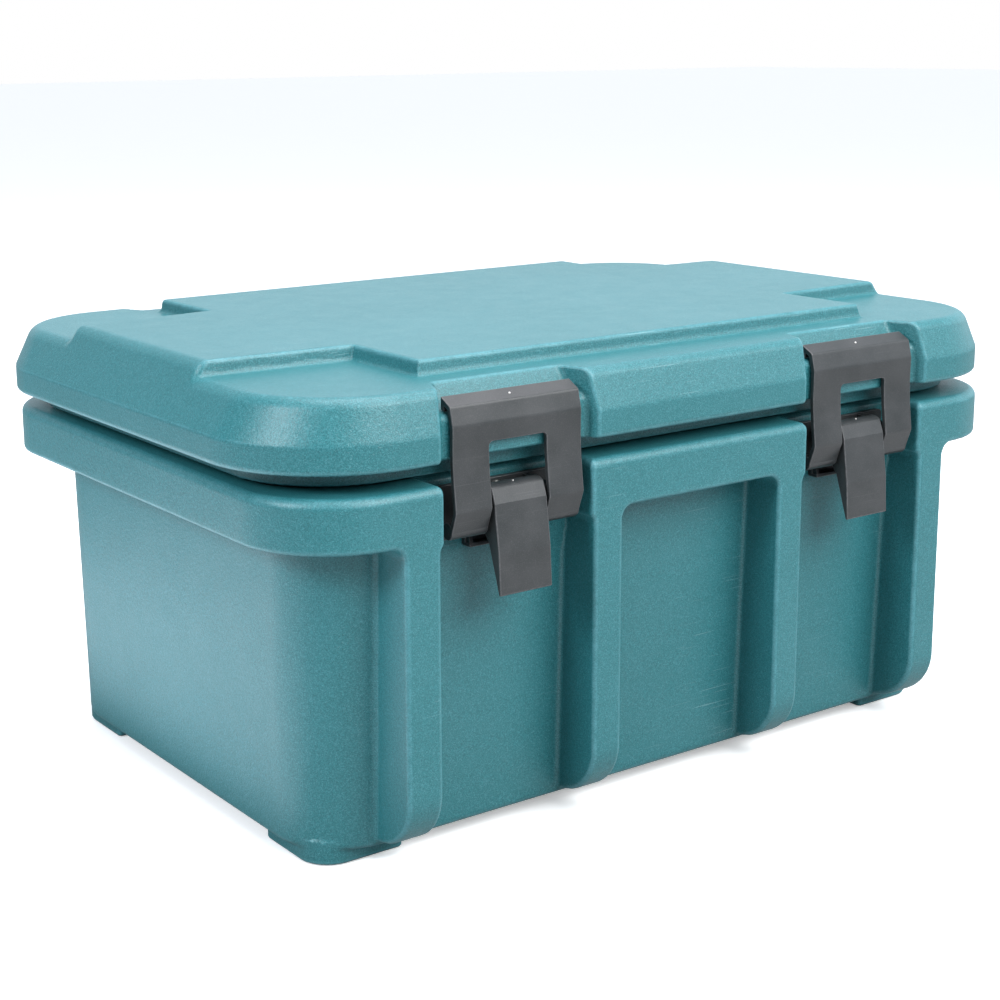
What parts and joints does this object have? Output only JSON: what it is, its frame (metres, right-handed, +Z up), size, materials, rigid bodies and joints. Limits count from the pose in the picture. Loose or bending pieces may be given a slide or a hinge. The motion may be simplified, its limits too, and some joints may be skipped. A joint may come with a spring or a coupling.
{
  "type": "insulated food carrier",
  "caption": "Insulated food carrier: a double-walled moulded box for a full-size pan, with a loose foam-filled lid, a raised cross on top, ribbed long sides and over-centre draw latches",
  "frame": {"origin": "centre of the footprint, on the plane that the feet stand on", "axes": "+X along the length, +Y to the rear, +Z up; the latched long sides face -Y and +Y"},
  "size_m": [0.64, 0.4482, 0.312],
  "materials": {
    "moulded_shell": "speckled slate blue, lightly textured moulded polyethylene",
    "foam_core": "closed-cell rigid foam, sealed inside the walls",
    "seal": "dark soft seal",
    "latch_nylon": "dark grey moulded nylon, satin",
    "pin_steel": "plain stainless",
    "insert_brass": "turned brass"
  },
  "bodies": {
    "base": {"base_shell": "moulded_shell", "base_foam": "foam_core", "bracket_front_left": "latch_nylon", "lever_pin_front_left": "pin_steel", "screws_front_left": "pin_steel", "inserts_front_left": "insert_brass", "bracket_front_right": "latch_nylon", "lever_pin_front_right": "pin_steel", "screws_front_right": "pin_steel", "inserts_front_right": "insert_brass", "bracket_rear_left": "latch_nylon", "lever_pin_rear_left": "pin_steel", "screws_rear_left": "pin_steel", "inserts_rear_left": "insert_brass", "bracket_rear_right": "latch_nylon", "lever_pin_rear_right": "pin_steel", "screws_rear_right": "pin_steel", "inserts_rear_right": "insert_brass"},
    "lid": {"lid_shell": "moulded_shell", "lid_foam": "foam_core", "lid_gasket": "seal"},
    "lever_front_left": {"lever_front_left": "latch_nylon", "hook_pin_front_left": "pin_steel"},
    "hook_front_left": {"hook_front_left": "latch_nylon"},
    "lever_front_right": {"lever_front_right": "latch_nylon", "hook_pin_front_right": "pin_steel"},
    "hook_front_right": {"hook_front_right": "latch_nylon"},
    "lever_rear_left": {"lever_rear_left": "latch_nylon", "hook_pin_rear_left": "pin_steel"},
    "hook_rear_left": {"hook_rear_left": "latch_nylon"},
    "lever_rear_right": {"lever_rear_right": "latch_nylon", "hook_pin_rear_right": "pin_steel"},
    "hook_rear_right": {"hook_rear_right": "latch_nylon"}
  },
  "joints": [
    {"name": "lid_lift", "type": "slide", "parent": "base", "child": "lid", "axis": [0, 0, 1], "range_m": [0, 0.1]},
    {"name": "lever_hinge_front_left", "type": "hinge", "parent": "base", "child": "lever_front_left", "pos_m": [-0.1515, -0.209, 0.23], "axis": [-1, 0, 0], "range_deg": [0, 140]},
    {"name": "hook_hinge_front_left", "type": "hinge", "parent": "lever_front_left", "child": "hook_front_left", "pos_m": [-0.1515, -0.209, 0.2135], "axis": [1, 0, 0], "range_deg": [0, 295]},
    {"name": "lever_hinge_front_right", "type": "hinge", "parent": "base", "child": "lever_front_right", "pos_m": [0.1515, -0.209, 0.23], "axis": [-1, 0, 0], "range_deg": [0, 140]},
    {"name": "hook_hinge_front_right", "type": "hinge", "parent": "lever_front_right", "child": "hook_front_right", "pos_m": [0.1515, -0.209, 0.2135], "axis": [1, 0, 0], "range_deg": [0, 295]},
    {"name": "lever_hinge_rear_left", "type": "hinge", "parent": "base", "child": "lever_rear_left", "pos_m": [-0.1515, 0.209, 0.23], "axis": [1, 0, 0], "range_deg": [0, 140]},
    {"name": "hook_hinge_rear_left", "type": "hinge", "parent": "lever_rear_left", "child": "hook_rear_left", "pos_m": [-0.1515, 0.209, 0.2135], "axis": [-1, 0, 0], "range_deg": [0, 295]},
    {"name": "lever_hinge_rear_right", "type": "hinge", "parent": "base", "child": "lever_rear_right", "pos_m": [0.1515, 0.209, 0.23], "axis": [1, 0, 0], "range_deg": [0, 140]},
    {"name": "hook_hinge_rear_right", "type": "hinge", "parent": "lever_rear_right", "child": "hook_rear_right", "pos_m": [0.1515, 0.209, 0.2135], "axis": [-1, 0, 0], "range_deg": [0, 295]}
  ],
  "couplings": [
    {"joint": "lever_hinge_front_left", "follows": "lid_lift", "rad_per_m": 24.435},
    {"joint": "hook_hinge_front_left", "follows": "lid_lift", "rad_per_m": 51.487},
    {"joint": "lever_hinge_front_right", "follows": "lid_lift", "rad_per_m": 24.435},
    {"joint": "hook_hinge_front_right", "follows": "lid_lift", "rad_per_m": 51.487},
    {"joint": "lever_hinge_rear_left", "follows": "lid_lift", "rad_per_m": 24.435},
    {"joint": "hook_hinge_rear_left", "follows": "lid_lift", "rad_per_m": 51.487},
    {"joint": "lever_hinge_rear_right", "follows": "lid_lift", "rad_per_m": 24.435},
    {"joint": "hook_hinge_rear_right", "follows": "lid_lift", "rad_per_m": 51.487}
  ]
}
